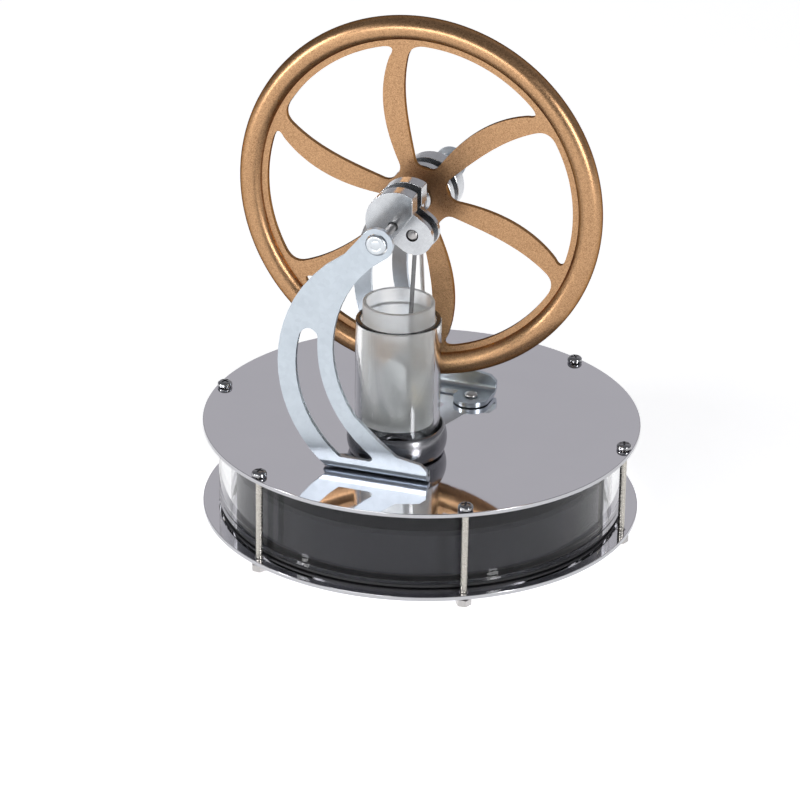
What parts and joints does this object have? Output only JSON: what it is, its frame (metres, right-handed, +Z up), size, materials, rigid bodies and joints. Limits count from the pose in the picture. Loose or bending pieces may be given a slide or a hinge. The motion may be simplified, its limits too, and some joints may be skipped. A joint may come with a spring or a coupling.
{
  "type": "model hot-air engine",
  "caption": "Upright model engine: round two-plate air chamber, glass power cylinder, cranked shaft between two curved sheet brackets, and a spoked flywheel.",
  "frame": {"origin": "on the round plates' common axis, at the level of the clamp screws' tips, where the engine rests on a flat surface", "axes": "+Z up; the crankshaft runs along Y with the power cylinder on the -Y side; +X is to the right seen from the power cylinder's side"},
  "size_m": [0.11, 0.11, 0.1344],
  "materials": {
    "polished_steel": "polished sheet steel",
    "zinc_plated_sheet": "zinc-plated sheet, faintly mottled",
    "bronze_paint": "bronze metallic paint with fine flakes",
    "nickel": "bright nickel plate",
    "dark_chrome": "black nickel plate",
    "screw_steel": "bright drawn steel",
    "clear_glass": "clear ground glass tube",
    "frosted_glass": "fine-ground frosted glass",
    "clear_acrylic": "clear polished acrylic",
    "black_rubber": "matte",
    "dark_foam": "dark grey rigid foam",
    "brass": "turned"
  },
  "bodies": {
    "base": {"bottom_plate": "polished_steel", "top_plate": "polished_steel", "chamber_ring": "clear_acrylic", "lower_gasket": "black_rubber", "upper_gasket": "black_rubber", "clamp_screw_1": "dark_chrome", "clamp_screw_2": "dark_chrome", "clamp_screw_3": "dark_chrome", "clamp_screw_4": "dark_chrome", "clamp_screw_5": "dark_chrome", "clamp_screw_6": "dark_chrome", "clamp_nut_1": "screw_steel", "clamp_nut_2": "screw_steel", "clamp_nut_3": "screw_steel", "clamp_nut_4": "screw_steel", "clamp_nut_5": "screw_steel", "clamp_nut_6": "screw_steel", "rod_gland": "brass", "cylinder_collar": "dark_chrome", "cylinder_glass": "clear_glass", "front_bracket": "zinc_plated_sheet", "rear_bracket": "zinc_plated_sheet", "front_bearing": "nickel", "rear_bearing": "nickel", "front_foot_rivet_left": "screw_steel", "front_foot_rivet_right": "screw_steel", "rear_foot_rivet_left": "screw_steel", "rear_foot_rivet_right": "screw_steel"},
    "crankshaft": {"flywheel": "bronze_paint", "wheel_hub": "nickel", "grub_screw": "dark_chrome", "front_shaft": "screw_steel", "main_shaft": "screw_steel", "rear_shaft": "screw_steel", "power_crank_pin": "screw_steel", "displacer_crank_pin": "screw_steel", "power_web_front": "nickel", "power_web_rear": "nickel", "displacer_web_front": "nickel", "displacer_web_rear": "nickel"},
    "connecting_rod": {"connecting_rod": "screw_steel", "wrist_pin": "nickel"},
    "displacer_link": {"displacer_link": "screw_steel", "link_pin": "nickel"},
    "piston": {"piston": "frosted_glass", "piston_fork": "nickel"},
    "displacer": {"displacer": "dark_foam", "displacer_hub": "nickel", "displacer_rod": "screw_steel", "displacer_fork": "nickel"}
  },
  "joints": [
    {"name": "crank_turn", "type": "hinge", "parent": "base", "child": "crankshaft", "pos_m": [0, -0.0049, 0.0878], "axis": [0, 1, 0], "continuous": true},
    {"name": "rod_pivot", "type": "hinge", "parent": "crankshaft", "child": "connecting_rod", "pos_m": [0.00411, -0.0195, 0.08513], "axis": [0, 1, 0], "continuous": true},
    {"name": "link_pivot", "type": "hinge", "parent": "crankshaft", "child": "displacer_link", "pos_m": [-0.00163, 0, 0.08528], "axis": [0, 1, 0], "continuous": true},
    {"name": "piston_slide", "type": "slide", "parent": "base", "child": "piston", "axis": [0, 0, 1], "range_m": [-0.0022, 0.0075]},
    {"name": "displacer_slide", "type": "slide", "parent": "base", "child": "displacer", "axis": [0, 0, 1], "range_m": [-0.00048, 0.0055]}
  ],
  "couplings": [
    {"joint": "rod_pivot", "follows": "crank_turn", "ratio": -1},
    {"joint": "link_pivot", "follows": "crank_turn", "ratio": -1}
  ]
}
